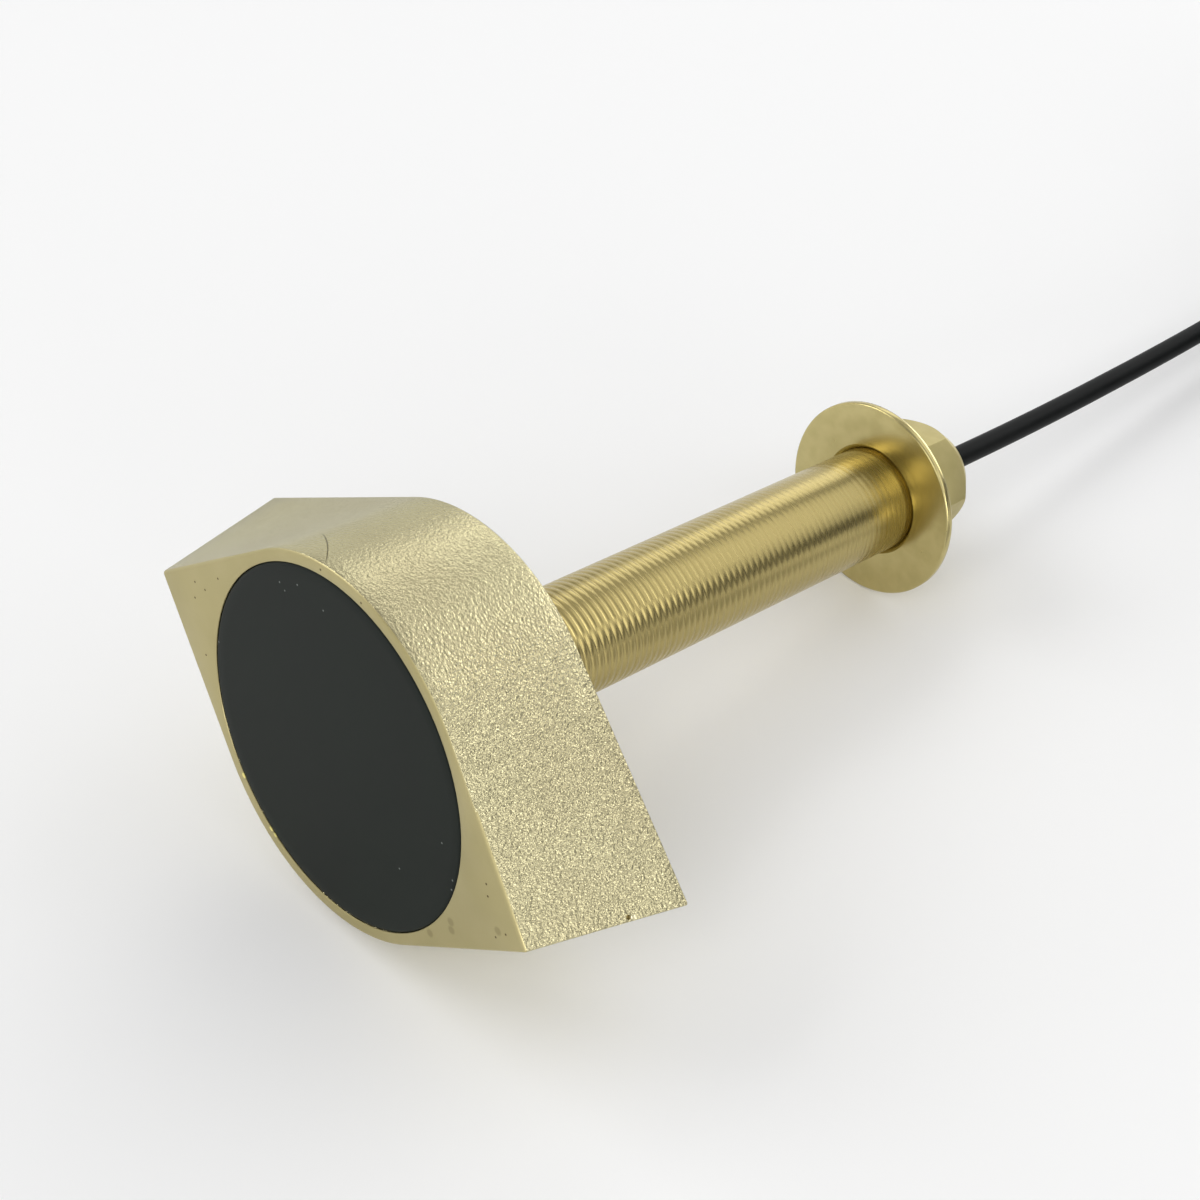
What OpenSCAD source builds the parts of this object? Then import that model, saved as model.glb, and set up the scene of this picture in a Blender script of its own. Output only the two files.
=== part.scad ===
// Through-hull sonar transducer, lying on its side as it comes to rest on a bench.
// The pieces on the stem are drawn about the stem's axis: z = 0 is the front face,
// z grows towards the cable, x runs along the long axis of the eye-shaped housing.
// The module at_rest() then lays that axis down. The cable's own pieces are drawn in place.

/* [Housing] */
// Thickness of the housing, from front face to back
housing_t = 34.7; // [30:0.1:45]
// Half the length of the front face, from the axis to a tip
face_half_len = 59; // [55:0.5:64]
// Half the length of the back, from the axis to a tip
back_half_len = 67.6; // [65:0.1:76]
// Radius of the round sides at the front face
face_side_r = 41.7; // [40.8:0.1:46]
// Radius of the round sides at the back
back_side_r = 41; // [40.5:0.1:44]
// Chamfer where the housing's walls meet its front and back
edge_break = 0.6; // [0.3:0.1:1.2]
// Width of the narrow flat that blunts each tip
tip_flat = 0.8; // [0.4:0.1:2]
// Depth of the chamber behind the window, from the front face
chamber_depth = 24; // [21:0.5:25]
// Diameter of the chamber
chamber_d = 70; // [62:1:74]
// Depth of the threaded socket for the stem
socket_depth = 8; // [5:0.5:8.5]
// Diameter of the way through from the chamber to the socket
lead_way_d = 14; // [9:0.5:18]

/* [Window and element] */
// Diameter of the acoustic window
window_d = 78; // [75:0.5:79]
// Thickness of the acoustic window
window_t = 5.5; // [4:0.1:7]
// How far the middle of the window is dished in
window_dish = 0.5; // [0.2:0.1:1.5]
// Diameter of the ceramic disc
disc_d = 50; // [40:1:52]
// Thickness of the ceramic disc
disc_t = 11; // [8:0.1:12]
// Wall of the cork ring round the disc
cork_wall = 4; // [2:0.5:5]
// Thickness of the cork pad behind the disc
cork_back_t = 4; // [2:0.1:4.5]
// Diameter of the hole for the wires in the cork pad and the resin
wire_hole_d = 8; // [7:0.5:8.5]
// Diameter of each wire
wire_d = 1.2; // [0.6:0.1:2]
// Distance between the two wires
wire_spacing = 2.6; // [2.2:0.1:3.2]
// Diameter of the solder dot under each wire
solder_d = 2.2; // [1.4:0.1:2.4]
// Height of the solder dot
solder_t = 0.8; // [0.4:0.1:1.5]

/* [Stem] */
// Outside diameter of the threaded stem
stem_d = 25.4; // [24:0.1:28]
// Length of the stem that stands out of the housing
stem_reach = 136.3; // [110:0.1:160]
// Bore of the stem
stem_bore = 10; // [7:0.5:14]
// Chamfer on the stem's far end
stem_chamfer = 1; // [0.4:0.1:1.5]
// Diameter of the threaded pocket in the stem's far end
pocket_d = 18; // [15:0.5:20]

/* [Hull nut] */
// Distance from the nut to the end of the stem, where the gland nut sits
nut_gap = 2; // [0.5:0.1:45]
// Diameter of the nut's flange
nut_flange_d = 47.8; // [44:0.1:60]
// Thickness of the nut's flange
nut_flange_t = 2; // [1.5:0.1:4]
// Chamfer round the rim of the flange
rim_break = 0.4; // [0.2:0.1:0.7]
// Hexagon of the nut, across its flats
nut_flats = 32; // [31:0.5:38]
// Height of the whole nut
nut_t = 9; // [6:0.5:10]
// Length of the turned-off corners at the hexagon's free end
nut_turn_len = 1.4; // [0.8:0.1:2.5]
// Chamfer at the mouth of the nut's bore
nut_chamfer = 1; // [0.4:0.1:1.5]

/* [Cable gland] */
// Hexagon of the gland nut, across its flats
gland_flats = 26.4; // [24:0.1:30]
// Length of the gland nut outside the stem
gland_t = 13; // [10:0.1:18]
// Length of the rounding-off cone at the gland nut's end
gland_cone_len = 6.3; // [3:0.1:8]
// Diameter of the gland nut's end face
gland_end_d = 21.4; // [14:0.1:24]
// Length of the gland nut's spigot in the stem
spigot_len = 9; // [6:0.5:12]
// Thickness of the thrust washer
washer_t = 1.2; // [0.8:0.1:2]
// Length of the rubber grommet
grommet_len = 10; // [6:0.5:14]

/* [Cable] */
// Diameter of the cable
cable_d = 5.5; // [5:0.1:6.5]
// Distance from the floor of the socket to the end of the cable's jacket
jacket_start = 3.3; // [1:0.1:8]
// Diameter of the coil at the middle of its turns
coil_mean_d = 81; // [78:1:92]
// Turns side by side in one layer of the coil
turns_across = 5; // [4:1:6]
// Layers of turns in the coil
layers = 6; // [4:2:8]
// Width of the strap round the coil
tie_w = 12; // [8:1:20]
// Thickness of the strap round the coil
tie_t = 1; // [0.6:0.1:1.5]
// Direction of the strap, seen from the middle of the coil, in degrees
tie_angle = -60; // [-75:5:-45]

/* [Plug] */
// Diameter of the plug's shell
shell_d = 18; // [17:0.5:22]
// Length of the plug's shell
shell_len = 34; // [30:1:42]
// Wall of the shell round its insert
shell_wall = 1.8; // [1.2:0.1:2.2]
// Chamfer at both ends of the shell
shell_chamfer = 0.8; // [0.3:0.1:1]
// Grip grooves round the shell
grip_grooves = 4; // [2:1:5]
// Depth of a grip groove
groove_depth = 0.6; // [0.3:0.1:0.9]
// Thickness of the insulating insert
insert_t = 12; // [9:0.5:14]
// How far the insert's face lies inside the shell's nose
insert_inset = 0.8; // [0.4:0.1:1.5]
// Socket contacts in the plug
contact_count = 5; // [3:1:6]
// Outside diameter of a contact
contact_d = 2.4; // [2:0.1:2.8]
// Bore of a contact
contact_bore = 1.5; // [1:0.1:1.7]
// Diameter of the circle that the contacts stand on
contact_circle_d = 8; // [7:0.1:9]
// Length of the plug's bend-relief boot
boot_len = 24; // [20:1:36]
// Diameter of the boot where it meets the shell
boot_root_d = 13; // [11:0.5:16]
// Diameter of the boot where the cable enters it
boot_tip_d = 8.6; // [8:0.1:10]
// Thickness of the sealing ring round the shell's nose
seal_t = 1.6; // [1:0.1:2.2]

/* [Fits] */
// Radial clearance between a thread or plug-in part and its hole
fit = 0.05; // [0.03:0.01:0.1]

/* [Hidden] */
$fn = 96;
// Overshoot of a cut past the face that it opens
cut = 1;

// Places along the stem's axis
disc_back = window_t + disc_t;
cork_back = disc_back + cork_back_t;
socket_floor = housing_t - socket_depth;
stem_end = housing_t + stem_reach;
stem_len = stem_end - socket_floor;
nut_front = stem_end - nut_gap - nut_t;
nut_flange_back = nut_front + nut_flange_t;
gland_end = stem_end + gland_t;
spigot_front = stem_end - spigot_len;
washer_front = spigot_front - washer_t;
grommet_front = washer_front - grommet_len;
jacket_end = socket_floor + jacket_start;
cork_ring_d = disc_d + 2 * cork_wall;
cable_hole_d = cable_d + 2 * fit;

// Radius of the round sides, and half the length of the eye, at a height z
function wall_r(z) = face_side_r + (back_side_r - face_side_r) * z / housing_t;
function half_len(z) = face_half_len + (back_half_len - face_half_len) * z / housing_t;

// The part lies on the housing's back edge and the rim of the nut's flange
roll = 9;
edge_z = housing_t - edge_break;
rim_z = nut_flange_back - rim_break;
dip = atan((wall_r(edge_z) - nut_flange_d / 2) / (rim_z - edge_z));
axis_height = wall_r(edge_z) * cos(dip) + edge_z * sin(dip);
front_reach = (face_side_r - edge_break) * sin(dip);
rear_reach = gland_end * cos(dip) + gland_end_d / 2 * sin(dip);
front_y = (front_reach - rear_reach) / 2;
function on_axis(z) = [0, front_y + z * cos(dip), axis_height - z * sin(dip)];

// The coil: its outermost turn runs on from the cable that comes off the stem
coil_y = 310;
bundle_w = turns_across * cable_d;
turn_r_max = (coil_mean_d + bundle_w) / 2;
coil_x = turn_r_max;
coil_out_r = turn_r_max + cable_d / 2;
coil_in_r = coil_mean_d / 2 - bundle_w / 2 - cable_d / 2;
coil_h = layers * cable_d;
layer_z = [for (i = [0 : layers - 1]) tie_t + (i + 0.5) * cable_d];
// Straight run of the outermost turn before it is clear of the coil
tangent_run = ceil(sqrt(pow(turn_r_max + cable_d, 2) - pow(turn_r_max, 2)));
lead_end = [0, coil_y - tangent_run, layer_z[1]];
tail_start = [coil_x + turn_r_max, coil_y - tangent_run, layer_z[0]];

// The plug lies on its side, nose towards -y
plug_x = 102;
plug_y = 218;
tail_end = [plug_x, plug_y, shell_d / 2];

// Places along the plug's axis, from the boot's tip
nose_z = boot_len + shell_len;
insert_front = nose_z - insert_inset;
insert_back = insert_front - insert_t;
insert_d = shell_d - 2 * shell_wall;
// The sealing ring sits in a groove behind the key slot
key_len = 6;
seal_z = nose_z - key_len - 1 - 2 * seal_t;
seal_in_d = shell_d - 1.2;

// The cable's route off the stem, and from the coil to the plug
lead_route = concat(
    [on_axis(gland_end)],
    [
        [0, 105, 19.2], [0, 120, 17.3], [0, 135, 15.6], [0, 150, 14.1], [0, 165, 12.8],
        [0, 180, 11.6], [0, 195, 10.6], [0, 210, 9.8], [0, 225, 9.2], [0, 240, 8.9],
        [0, 255, 8.9], [0, 270, 9.1]
    ],
    [lead_end]
);
tail_route = concat(
    [tail_start],
    [[108, 274, 3.9], [107, 262, 4.7], [105, 250, 6.2], [103, 238, 7.8], [102, 228, 8.7]],
    [tail_end]
);

bronze = [0.74, 0.70, 0.52];
brass = [0.72, 0.64, 0.38];
window_black = [0.20, 0.21, 0.20];
cable_black = [0.06, 0.07, 0.07];
shell_grey = [0.16, 0.17, 0.18];
cork_tan = [0.66, 0.47, 0.29];
resin_grey = [0.33, 0.34, 0.33];
ceramic_buff = [0.80, 0.76, 0.64];
rubber_black = [0.10, 0.10, 0.10];

// Lays the stem's axis down: rolled about itself, dipping towards the cable
module at_rest() {
    translate(on_axis(0)) rotate([-(90 + dip), 0, 0]) rotate([0, 0, roll]) children();
}

module tube(d, bore, z0, z1) {
    translate([0, 0, z0]) difference() {
        cylinder(d = d, h = z1 - z0);
        translate([0, 0, -cut]) cylinder(d = bore, h = z1 - z0 + 2 * cut);
    }
}

// A round bar along the axis with both ends chamfered
module broken_bar(d, z0, z1, edge) {
    r = d / 2;
    rotate_extrude() polygon([
        [0, z0], [r - edge, z0], [r, z0 + edge], [r, z1 - edge], [r - edge, z1], [0, z1]
    ]);
}

// A hexagon whose corners are turned off to a cone at the far end
module turned_hexagon(flats, len, cone_len, end_d) {
    corner_r = flats / cos(30) / 2;
    intersection() {
        cylinder(r = corner_r, h = len, $fn = 6);
        rotate_extrude() polygon([
            [0, 0], [corner_r, 0], [corner_r, len - cone_len], [end_d / 2, len], [0, len]
        ]);
    }
}

// One tip of the housing at a height z: the two lines from the blunt tip to the round sides.
// The lines start a little inside the round sides, so that they cut them cleanly,
// and the outline draws in where it nears the front or the back.
tip_bite = 0.15;
tip_slices = 8;
function drawn_in(z) = max(0, edge_break - min(z, housing_t - z));
function tip_section(z) =
    let (
        r = wall_r(z) - drawn_in(z),
        l = half_len(z) * r / wall_r(z),
        a = acos((r - tip_bite) / l),
        root = [(r - tip_bite) * cos(a), (r - tip_bite) * sin(a)],
        nose = [l - tip_flat / 2 * tan(a), tip_flat / 2]
    )
    [[root.x, -root.y, z], [nose.x, -nose.y, z], [nose.x, nose.y, z], [root.x, root.y, z]];

// A tip is lofted through its sections, because its two sides twist a little
module tip() {
    wall_z = [for (i = [0 : tip_slices]) edge_break + (housing_t - 2 * edge_break) * i / tip_slices];
    sections = [for (z = concat([0], wall_z, [housing_t])) tip_section(z)];
    n = len(sections[0]);
    last = n * (len(sections) - 1);
    walls = [
        for (i = [0 : len(sections) - 2]) for (k = [0 : n - 1])
            let (a = n * i + k, b = n * i + (k + 1) % n)
            each [[a, a + n, b], [b, a + n, b + n]]
    ];
    caps = [[for (k = [0 : n - 1]) k], [for (k = [n - 1 : -1 : 0]) last + k]];
    polyhedron([for (s = sections) each s], concat(walls, caps), convexity = 4);
}

module housing() {
    color(bronze) at_rest() difference() {
        union() {
            rotate_extrude() polygon([
                [0, 0], [face_side_r - edge_break, 0], [wall_r(edge_break), edge_break],
                [wall_r(edge_z), edge_z], [back_side_r - edge_break, housing_t], [0, housing_t]
            ]);
            tip();
            rotate([0, 0, 180]) tip();
        }
        translate([0, 0, -cut]) cylinder(d = window_d, h = window_t + cut);
        translate([0, 0, -cut]) cylinder(d = chamber_d, h = chamber_depth + cut);
        cylinder(d = lead_way_d, h = housing_t);
        translate([0, 0, socket_floor]) cylinder(d = stem_d + 2 * fit, h = socket_depth + cut);
    }
}

// The front of the window is a shallow dish inside a narrow flat rim
module acoustic_window() {
    rim_r = window_d / 2 - fit;
    dish_r = rim_r - 2;
    steps = 8;
    color(window_black) at_rest() rotate_extrude() polygon(concat(
        [[0, window_t], [rim_r, window_t], [rim_r, 0]],
        [for (i = [0 : steps]) let (s = 1 - i / steps) [dish_r * s, window_dish * (1 - s * s)]]
    ));
}

module piezo_disc() {
    color(ceramic_buff) at_rest() translate([0, 0, window_t]) cylinder(d = disc_d, h = disc_t);
}

module cork_ring() {
    color(cork_tan) at_rest() tube(cork_ring_d, disc_d + 2 * fit, window_t, disc_back);
}

module cork_backing() {
    color(cork_tan) at_rest() tube(cork_ring_d, wire_hole_d, disc_back, cork_back);
}

// Resin round the cork and over it, up to the chamber's floor
module potting_block() {
    color(resin_grey) at_rest() {
        difference() {
            translate([0, 0, window_t]) cylinder(d = chamber_d - 2 * fit, h = chamber_depth - window_t);
            translate([0, 0, window_t - cut])
                cylinder(d = cork_ring_d + 2 * fit, h = cork_back - window_t + cut);
            cylinder(d = wire_hole_d, h = chamber_depth + cut);
        }
    }
}

// A wire stands in its solder dot on the disc and ends at the cable's jacket
module wire(side) {
    at_rest() translate([side * wire_spacing / 2, 0, disc_back]) {
        cylinder(d = wire_d, h = jacket_end - disc_back, $fn = 24);
        cylinder(d = solder_d, h = solder_t, $fn = 24);
    }
}

module live_lead() {
    color("firebrick") wire(1);
}

module return_lead() {
    color("gainsboro") wire(-1);
}

module threaded_stem() {
    grommet_pocket = stem_end - grommet_front;
    color(brass) at_rest() difference() {
        union() {
            translate([0, 0, socket_floor]) cylinder(d = stem_d, h = stem_len - stem_chamfer);
            translate([0, 0, stem_end - stem_chamfer])
                cylinder(d1 = stem_d, d2 = stem_d - 2 * stem_chamfer, h = stem_chamfer);
        }
        translate([0, 0, socket_floor - cut]) cylinder(d = stem_bore, h = stem_len + 2 * cut);
        translate([0, 0, grommet_front]) cylinder(d = pocket_d, h = grommet_pocket + cut);
    }
}

module hull_nut() {
    bore_d = stem_d + 2 * fit;
    color(brass) at_rest() translate([0, 0, nut_front]) difference() {
        union() {
            broken_bar(nut_flange_d, 0, nut_flange_t, rim_break);
            turned_hexagon(nut_flats, nut_t, nut_turn_len, nut_flats);
        }
        translate([0, 0, -cut]) cylinder(d = bore_d, h = nut_t + 2 * cut);
        translate([0, 0, -cut])
            cylinder(d1 = bore_d + 2 * (nut_chamfer + cut), d2 = bore_d, h = nut_chamfer + cut);
    }
}

// The hexagon outside the stem's end, with a spigot in the stem
module gland_nut() {
    turn = 44;
    color(brass) at_rest() difference() {
        union() {
            translate([0, 0, stem_end]) rotate([0, 0, turn])
                turned_hexagon(gland_flats, gland_t, gland_cone_len, gland_end_d);
            translate([0, 0, spigot_front]) cylinder(d = pocket_d - 2 * fit, h = spigot_len);
        }
        translate([0, 0, spigot_front - cut])
            cylinder(d = cable_hole_d, h = spigot_len + gland_t + 2 * cut);
    }
}

module gland_washer() {
    color(brass) at_rest() tube(pocket_d - 2 * fit, cable_hole_d, washer_front, spigot_front);
}

module gland_grommet() {
    color(rubber_black) at_rest() tube(pocket_d - 2 * fit, cable_hole_d, grommet_front, washer_front);
}

module stem_cable() {
    color(cable_black) at_rest() translate([0, 0, jacket_end])
        cylinder(d = cable_d, h = gland_end - jacket_end);
}

// A round tube through the route's points: each ring stands square to the way through it
tube_sides = 12;
function unit(v) = v / norm(v);
function heading(route, i, first, last) =
    i == 0 ? first : i == len(route) - 1 ? last : unit(route[i + 1] - route[i - 1]);
function ring(centre, ahead) =
    let (side = unit(cross(ahead, [0, 0, 1])), up = cross(side, ahead))
    [
        for (k = [0 : tube_sides - 1])
            let (a = 360 * k / tube_sides)
            centre + cable_d / 2 * (cos(a) * side + sin(a) * up)
    ];
module cord(route, first, last) {
    n = tube_sides;
    ends = n * (len(route) - 1);
    points = [for (i = [0 : len(route) - 1]) each ring(route[i], heading(route, i, first, last))];
    walls = [
        for (i = [0 : len(route) - 2]) for (k = [0 : n - 1])
            let (a = n * i + k, b = n * i + (k + 1) % n)
            each [[a, b, a + n], [b, b + n, a + n]]
    ];
    caps = [[for (k = [n - 1 : -1 : 0]) k], [for (k = [0 : n - 1]) ends + k]];
    polyhedron(points, concat(walls, caps), convexity = 10);
}

module cable_lead() {
    color(cable_black) cord(lead_route, [0, cos(dip), -sin(dip)], [0, 1, 0]);
}

module cable_tail() {
    color(cable_black) cord(tail_route, [0, -1, 0], [0, -1, 0]);
}

// The outer shape of the turns, with the two straight runs where the cable joins it
module cable_coil() {
    color(cable_black) {
        translate([coil_x, coil_y, tie_t]) rotate_extrude() translate([coil_in_r, 0])
            square([coil_out_r - coil_in_r, coil_h]);
        for (start = [lead_end, tail_start])
            translate(start) rotate([-90, 0, 0]) cylinder(d = cable_d, h = tangent_run);
    }
}

// A strap drawn round the bundle of turns, lying flat under it and curving with it
module coil_tie() {
    in_r = coil_in_r - fit;
    out_r = coil_out_r + fit;
    top = tie_t + coil_h + fit;
    color(rubber_black) translate([coil_x, coil_y, 0]) rotate([0, 0, tie_angle]) intersection() {
        rotate_extrude() difference() {
            translate([in_r - tie_t, 0]) square([out_r - in_r + 2 * tie_t, top + tie_t]);
            translate([in_r, tie_t]) square([out_r - in_r, coil_h + fit]);
        }
        translate([0, -tie_w / 2, -cut]) cube([coil_out_r + 2 * tie_t, tie_w, top + tie_t + 2 * cut]);
    }
}

// The plug is drawn along +z, from the boot's tip to the shell's nose
module plugged_in() {
    translate(tail_end) rotate([90, 0, 0]) children();
}

module plug_boot() {
    boot_rings = 4;
    ring_pitch = boot_len / (boot_rings + 1);
    ring_depth = 0.7;
    color(rubber_black) plugged_in() difference() {
        cylinder(d1 = boot_tip_d, d2 = boot_root_d, h = boot_len);
        for (i = [1 : boot_rings]) {
            d = boot_tip_d + (boot_root_d - boot_tip_d) * i / (boot_rings + 1);
            translate([0, 0, i * ring_pitch - ring_pitch / 4])
                tube(boot_root_d + cut, d - 2 * ring_depth, 0, ring_pitch / 2);
        }
    }
}

module plug_shell() {
    groove_w = 1.6;
    groove_pitch = 3.2;
    key_w = 3;
    color(shell_grey) plugged_in() difference() {
        broken_bar(shell_d, boot_len, nose_z, shell_chamfer);
        translate([0, 0, insert_back]) cylinder(d = insert_d, h = nose_z - insert_back + cut);
        for (i = [1 : grip_grooves])
            translate([0, 0, boot_len + i * groove_pitch])
                tube(shell_d + 2 * cut, shell_d - 2 * groove_depth, 0, groove_w);
        translate([-key_w / 2, shell_d / 2 - shell_wall / 2, nose_z - key_len])
            cube([key_w, shell_wall, key_len + cut]);
        translate([0, 0, seal_z]) tube(shell_d + 2 * cut, seal_in_d, 0, seal_t + 2 * fit);
    }
}

module at_contacts() {
    for (i = [0 : contact_count - 1])
        rotate([0, 0, 360 * i / contact_count]) translate([contact_circle_d / 2, 0, 0]) children();
}

module plug_insert() {
    color(resin_grey) plugged_in() difference() {
        translate([0, 0, insert_back]) cylinder(d = insert_d - 2 * fit, h = insert_t);
        at_contacts() translate([0, 0, insert_back - cut])
            cylinder(d = contact_d + 2 * fit, h = insert_t + 2 * cut, $fn = 32);
    }
}

module plug_contacts() {
    color("gold") plugged_in() at_contacts()
        tube(contact_d, contact_bore, insert_back + fit, insert_front, $fn = 32);
}

module plug_seal() {
    color(rubber_black) plugged_in() tube(shell_d, seal_in_d + 2 * fit, seal_z + fit, seal_z + fit + seal_t);
}

housing();
acoustic_window();
piezo_disc();
cork_ring();
cork_backing();
potting_block();
live_lead();
return_lead();
threaded_stem();
hull_nut();
gland_nut();
gland_washer();
gland_grommet();
stem_cable();
cable_lead();
cable_coil();
coil_tie();
cable_tail();
plug_boot();
plug_shell();
plug_insert();
plug_contacts();
plug_seal();
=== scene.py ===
# %% [markdown]
# # A through-hull sonar transducer
# A sonar transducer sits under a boat's hull and listens through a black window. This one is an
# eye-shaped casting with a long threaded stem that goes up through the hull, a thin flanged nut that
# draws it tight, and a cable that leaves through a gland. The solids give each size and place. Here they
# get the surfaces, edges and light of a studio photograph.

# %% Load the solids
import math

import bmesh
import bpy
from bmesh.types import BMEdge, BMFace, BMVert
from mathutils import Matrix, Vector


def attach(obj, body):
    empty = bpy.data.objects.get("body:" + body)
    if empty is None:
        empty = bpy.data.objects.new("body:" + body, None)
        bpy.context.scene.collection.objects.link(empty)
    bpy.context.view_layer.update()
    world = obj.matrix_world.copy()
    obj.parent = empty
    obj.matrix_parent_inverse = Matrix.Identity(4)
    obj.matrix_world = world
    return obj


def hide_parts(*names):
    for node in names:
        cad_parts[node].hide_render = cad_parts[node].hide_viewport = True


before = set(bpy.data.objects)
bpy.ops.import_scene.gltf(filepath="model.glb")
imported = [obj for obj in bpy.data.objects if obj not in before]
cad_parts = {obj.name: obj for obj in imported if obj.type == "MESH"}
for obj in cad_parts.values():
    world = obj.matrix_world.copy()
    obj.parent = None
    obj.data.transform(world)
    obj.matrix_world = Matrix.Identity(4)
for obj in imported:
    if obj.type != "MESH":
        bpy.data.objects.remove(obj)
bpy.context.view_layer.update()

# %% [markdown]
# ## The camera
# The photograph looks down at the part from the window's side, with the lens of a short telephoto. The
# angles and the distance were found by fitting the outline of the window, the housing's tips and the nut.
# A camera without roll needs only a place and two angles.

# %% Camera
scene = bpy.context.scene
scene.view_settings.view_transform = "Standard"
camera = bpy.data.objects.new("camera", bpy.data.cameras.new("camera"))
scene.collection.objects.link(camera)
camera.location = (0.26165, -0.25927, 0.34531)
camera.rotation_euler = (math.radians(90 - 40.371), 0, math.radians(47.308))
camera.data.lens = 65.85
camera.data.sensor_width = 36
camera.data.clip_start = 0.01
scene.camera = camera
print("camera:", [round(x, 3) for x in camera.location], "lens:", camera.data.lens)

# %% [markdown]
# ## The cable
# The cable is 8 m of round black lead. It leaves the gland, sags to the bench, runs on past the
# photograph's edge and is wound into a coil with a tie, and ends in a plug. A tube of faces could be
# swept along the way, but a curve does that by itself, keeps the section round and gives the length. The
# sag goes through a few given points, and the coil is worked out turn by turn: five layers from the
# outside in and back out, then down the middle and out along the bottom layer.

# %% The way off the stem
MM = 0.001
CABLE_D = 5.5
LAYER_Z = [1 + CABLE_D * (i + 0.5) for i in range(6)]


def through(points, steps=6):
    """A smooth row of points through the given ones."""
    ends = [2 * points[0] - points[1], *points, 2 * points[-1] - points[-2]]
    row = []
    for a, b, c, d in zip(ends, ends[1:], ends[2:], ends[3:]):
        for k in range(steps):
            t = k / steps
            square, cube = (2 * a - 5 * b + 4 * c - d) * t**2, (3 * b - a - 3 * c + d) * t**3
            row.append(0.5 * (2 * b + (c - a) * t + square + cube))
    return row + [points[-1]]


GLAND_EXIT = Vector((0, 93.204, 20.708))
sag = [(105, 19.2), (120, 17.3), (135, 15.6), (150, 14.1), (165, 12.8), (180, 11.6), (195, 10.6)]
sag += [(210, 9.8), (225, 9.2), (240, 8.9), (255, 8.9), (270, 9.1), (284, LAYER_Z[1])]
lead = through([GLAND_EXIT] + [Vector((0, y, z)) for y, z in sag])
tail_points = [(108.5, 284, LAYER_Z[0]), (108, 274, 3.9), (107, 262, 4.7), (105, 250, 6.2)]
tail_points += [(103, 238, 7.8), (102, 228, 8.7), (102, 218, 9)]
tail = through([Vector(p) for p in tail_points])
print("points off the stem:", len(lead), "and to the plug:", len(tail))

# %% The coil, turn by turn
COIL_X, COIL_Y = 54.25, 310
OUTER_R, INNER_R = 54.25, 26.75
CLIMB = 1 / 6
POINTS_PER_TURN = 48


def ease(a, b, t):
    t = min(max(t, 0), 1)
    return a + (b - a) * t * t * (3 - 2 * t)


def winding(turn):
    """The cable's radius and height in the coil after so many turns."""
    if turn < 25:
        layer, t = int(turn // 5), turn % 5
        hold = CLIMB if layer else 0
        spread = max(0, (t - hold) / (5 - hold))
        start, end = (INNER_R, OUTER_R) if layer % 2 else (OUTER_R, INNER_R)
        return start + (end - start) * spread, ease(LAYER_Z[max(layer, 1)], LAYER_Z[layer + 1], t / CLIMB)
    t = turn - 25
    if t < 1.5:
        inward = ease(0, 1, t / 0.4) - ease(0, 1, (t - 1.1) / 0.4)
        return INNER_R - CABLE_D * inward, ease(LAYER_Z[5], LAYER_Z[0], (t - 0.4) / 0.7)
    return INNER_R + CABLE_D * (t - 1.5), LAYER_Z[0]


coil = []
for i in range(int(31.5 * POINTS_PER_TURN) + 1):
    turn = i / POINTS_PER_TURN
    radius, height = winding(turn)
    angle = math.pi - 2 * math.pi * turn
    coil.append(Vector((COIL_X + radius * math.cos(angle), COIL_Y + radius * math.sin(angle), height)))
route = lead + coil + tail
cable_length = MM * sum((b - a).length for a, b in zip(route, route[1:]))
print("cable: %.2f m in %d points" % (cable_length, len(route)))

# %% The cable as one curve
line = bpy.data.curves.new("cable", "CURVE")
line.dimensions = "3D"
spline = line.splines.new("POLY")
spline.points.add(len(route) - 1)
for point, at in zip(spline.points, route):
    point.co = (*(MM * at), 1)
    point.radius = MM * CABLE_D / 2
line.bevel_depth = 1
line.bevel_resolution = 5
line.use_fill_caps = True
cable = bpy.data.objects.new("cable", line)
scene.collection.objects.link(cable)
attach(cable, "root")
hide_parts("cable_lead", "cable_coil", "cable_tail")
print("cable made, bend in the middle of the coil: %.1f diameters" % ((INNER_R - CABLE_D) / CABLE_D))

# %% [markdown]
# ## The frame of the stem
# The part lies on its side, so the stem's axis dips towards the cable and the housing is rolled a little.
# Each piece on the stem is modelled upright in millimetres, about a z axis that starts at the front face,
# and is then laid down by one matrix. The finished object stays at the origin, because its place is in
# its mesh. A few helpers follow, for what several pieces need: rings, spun profiles, cuts and soft edges.

# %% Laying a piece down
HOUSING_T, FACE_R, BACK_R, FACE_LEN, BACK_LEN = 34.7, 41.7, 41.0, 59.0, 67.6
WINDOW_D, STEM_D, STEM_END = 78.0, 25.4, 171.0
FLANGE_D, FLANGE_FRONT, FLANGE_T = 47.8, 160.0, 2.0
GLAND_END, GLAND_END_D = 184.0, 21.4
EDGE_BREAK, RIM_BREAK = 0.6, 0.4
edge_z, rim_z = HOUSING_T - EDGE_BREAK, FLANGE_FRONT + FLANGE_T - RIM_BREAK
edge_r = FACE_R + (BACK_R - FACE_R) * edge_z / HOUSING_T
dip = math.atan((edge_r - FLANGE_D / 2) / (rim_z - edge_z))
axis_height = edge_r * math.cos(dip) + edge_z * math.sin(dip)
reach = GLAND_END * math.cos(dip) + GLAND_END_D / 2 * math.sin(dip)
front_y = ((FACE_R - EDGE_BREAK) * math.sin(dip) - reach) / 2
REST_PLACE = MM * Vector((0, front_y, axis_height))
ROLL = math.radians(9)
REST_TURN = (Matrix.Rotation(-(math.pi / 2 + dip), 4, "X") @ Matrix.Rotation(ROLL, 4, "Z")).to_euler()
LAID_DOWN = Matrix.Translation(REST_PLACE) @ REST_TURN.to_matrix().to_4x4() @ Matrix.Scale(MM, 4)


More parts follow.
